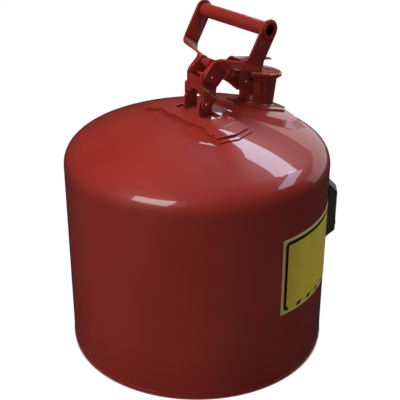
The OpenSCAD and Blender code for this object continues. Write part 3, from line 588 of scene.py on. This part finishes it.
def soft_box(name, at, aim, width, height, watts, in_reflections=True, tint=(1, 1, 1), lights=True):
    data = bpy.data.lights.new(name, "AREA")
    data.shape = "RECTANGLE"
    data.size = width
    data.size_y = height
    data.energy = watts
    data.color = tint
    lamp = bpy.data.objects.new(name, data)
    lamp.location = at
    lamp.rotation_euler = (Vector(aim) - Vector(at)).to_track_quat("-Z", "Y").to_euler()
    lamp.visible_camera = False
    lamp.visible_glossy = in_reflections
    lamp.visible_diffuse = lights
    bpy.context.scene.collection.objects.link(lamp)
    return lamp


def direction(azimuth, elevation, distance):
    """The point that lies this way from the can's centre, in degrees and metres."""
    a, e = math.radians(azimuth), math.radians(elevation)
    return (centre[0] + distance * math.cos(a) * math.cos(e),
            centre[1] + distance * math.sin(a) * math.cos(e), centre[2] + distance * math.sin(e))


soft_box("overhead", (-0.2, 0.15, 2.2), centre, 1.6, 1.6, 37, in_reflections=False)
soft_box("left_fill", direction(176, 15, 2.0), centre, 1.4, 1.4, 14, in_reflections=False)
soft_box("front_window", direction(-171, 42, 2.0), centre, 1.0, 1.0, 20, lights=False)
soft_box("long_window", direction(21, 47, 1.8), centre, 1.17, 0.37, 9.2, tint=sky_tint, lights=False)
soft_box("low_pane", direction(-22, 41, 1.8), centre, 0.95, 0.33, 4.2, tint=sky_tint, lights=False)
soft_box("small_window", direction(43, 29, 1.8), centre, 0.24, 0.3, 1.3, tint=sky_tint, lights=False)
soft_box("rear_wall", direction(6, 9.5, 1.9), centre, 2.3, 0.98, 5.4)
soft_box("right_fill", direction(25, 32, 2.0), centre, 1.2, 1.2, 17, in_reflections=False)

# %% Fill the world with white behind the can and soft grey light
def ray_kinds(tree, *kinds):
    """One output that is 1 for any of these kinds of ray."""
    ray = tree.nodes.new("ShaderNodeLightPath")
    found = ray.outputs[kinds[0]]
    for kind in kinds[1:]:
        either_kind = tree.nodes.new("ShaderNodeMath")
        either_kind.operation = "MAXIMUM"
        tree.links.new(found, either_kind.inputs[0])
        tree.links.new(ray.outputs[kind], either_kind.inputs[1])
        found = either_kind.outputs[0]
    return found


world = bpy.data.worlds.new("studio")
bpy.context.scene.world = world
world.use_nodes = True
tree = world.node_tree
tree.nodes.clear()
seen = ray_kinds(tree, "Is Camera Ray", "Is Glossy Ray", "Is Transmission Ray")
soft_light = tree.nodes.new("ShaderNodeBackground")
soft_light.inputs["Color"].default_value = (1, 1, 1, 1)
soft_light.inputs["Strength"].default_value = 0.09
white = tree.nodes.new("ShaderNodeBackground")
white.inputs["Color"].default_value = (1, 1, 1, 1)
white.inputs["Strength"].default_value = 1.0
either = tree.nodes.new("ShaderNodeMixShader")
out = tree.nodes.new("ShaderNodeOutputWorld")
tree.links.new(seen, either.inputs[0])
tree.links.new(soft_light.outputs[0], either.inputs[1])
tree.links.new(white.outputs[0], either.inputs[2])
tree.links.new(either.outputs[0], out.inputs["Surface"])
print("world light:", soft_light.inputs["Strength"].default_value)

# %% Lay the floor and hang the flags
def only_reflections(obj):
    obj.visible_camera = False
    obj.visible_diffuse = False
    obj.visible_transmission = False
    obj.visible_shadow = False


floor_r = 6
tent_r = 3.2
hair = 0.0002
room_for_can = 0.004
bpy.ops.object.select_all(action="DESELECT")
bpy.ops.mesh.primitive_circle_add(vertices=96, radius=floor_r, fill_type="NGON", location=(0, 0, -hair))
floor = bpy.context.object
floor.name = "floor"
floor_paper, floor_shader = new_material("pale_floor_paper")
tree = floor_paper.node_tree
floor_shader.inputs["Base Color"].default_value = (0.35, 0.35, 0.35, 1)
floor_shader.inputs["Roughness"].default_value = 0.9
seen = ray_kinds(tree, "Is Camera Ray", "Is Glossy Ray")
share = tree.nodes.new("ShaderNodeMath")
share.operation = "MULTIPLY"
share.inputs[1].default_value = 0.97
tree.links.new(seen, share.inputs[0])
glow = tree.nodes.new("ShaderNodeEmission")
glow.inputs["Strength"].default_value = 1.03
mix = tree.nodes.new("ShaderNodeMixShader")
tree.links.new(share.outputs[0], mix.inputs[0])
tree.links.new(floor_shader.outputs[0], mix.inputs[1])
tree.links.new(glow.outputs[0], mix.inputs[2])
tree.links.new(mix.outputs[0], tree.nodes["Material Output"].inputs["Surface"])
floor.data.materials.append(floor_paper)

bpy.ops.object.select_all(action="DESELECT")
bpy.ops.mesh.primitive_uv_sphere_add(segments=48, ring_count=24, radius=tent_r)
tent = bpy.context.object
tent.name = "black_tent"
bpy.ops.object.select_all(action="DESELECT")
bpy.ops.mesh.primitive_circle_add(vertices=96, radius=tent_r, fill_type="NGON", location=(0, 0, hair))
cloth = bpy.context.object
cloth.name = "black_cloth"
pick(cloth)
bpy.ops.object.mode_set(mode="EDIT")
bpy.ops.mesh.select_all(action="SELECT")
bpy.ops.mesh.inset(thickness=tent_r - can_r - room_for_can)
bpy.ops.mesh.delete(type="FACE")
bpy.ops.object.mode_set(mode="OBJECT")
flag_cloth, flag_shader = new_material("black_flag_cloth")
flag_shader.inputs["Base Color"].default_value = (0.0, 0.0, 0.0, 1)
flag_shader.inputs["Roughness"].default_value = 1.0
flag_shader.inputs["Specular IOR Level"].default_value = 0.0
flag_shader.inputs["Emission Color"].default_value = (1, 1, 1, 1)
flag_shader.inputs["Emission Strength"].default_value = 0.018
for flag in (tent, cloth):
    settle(flag)
    flag.data.materials.append(flag_cloth)
    only_reflections(flag)
print("stage:", floor.name, tent.name, cloth.name)

# %% Update the scene
bpy.context.view_layer.update()
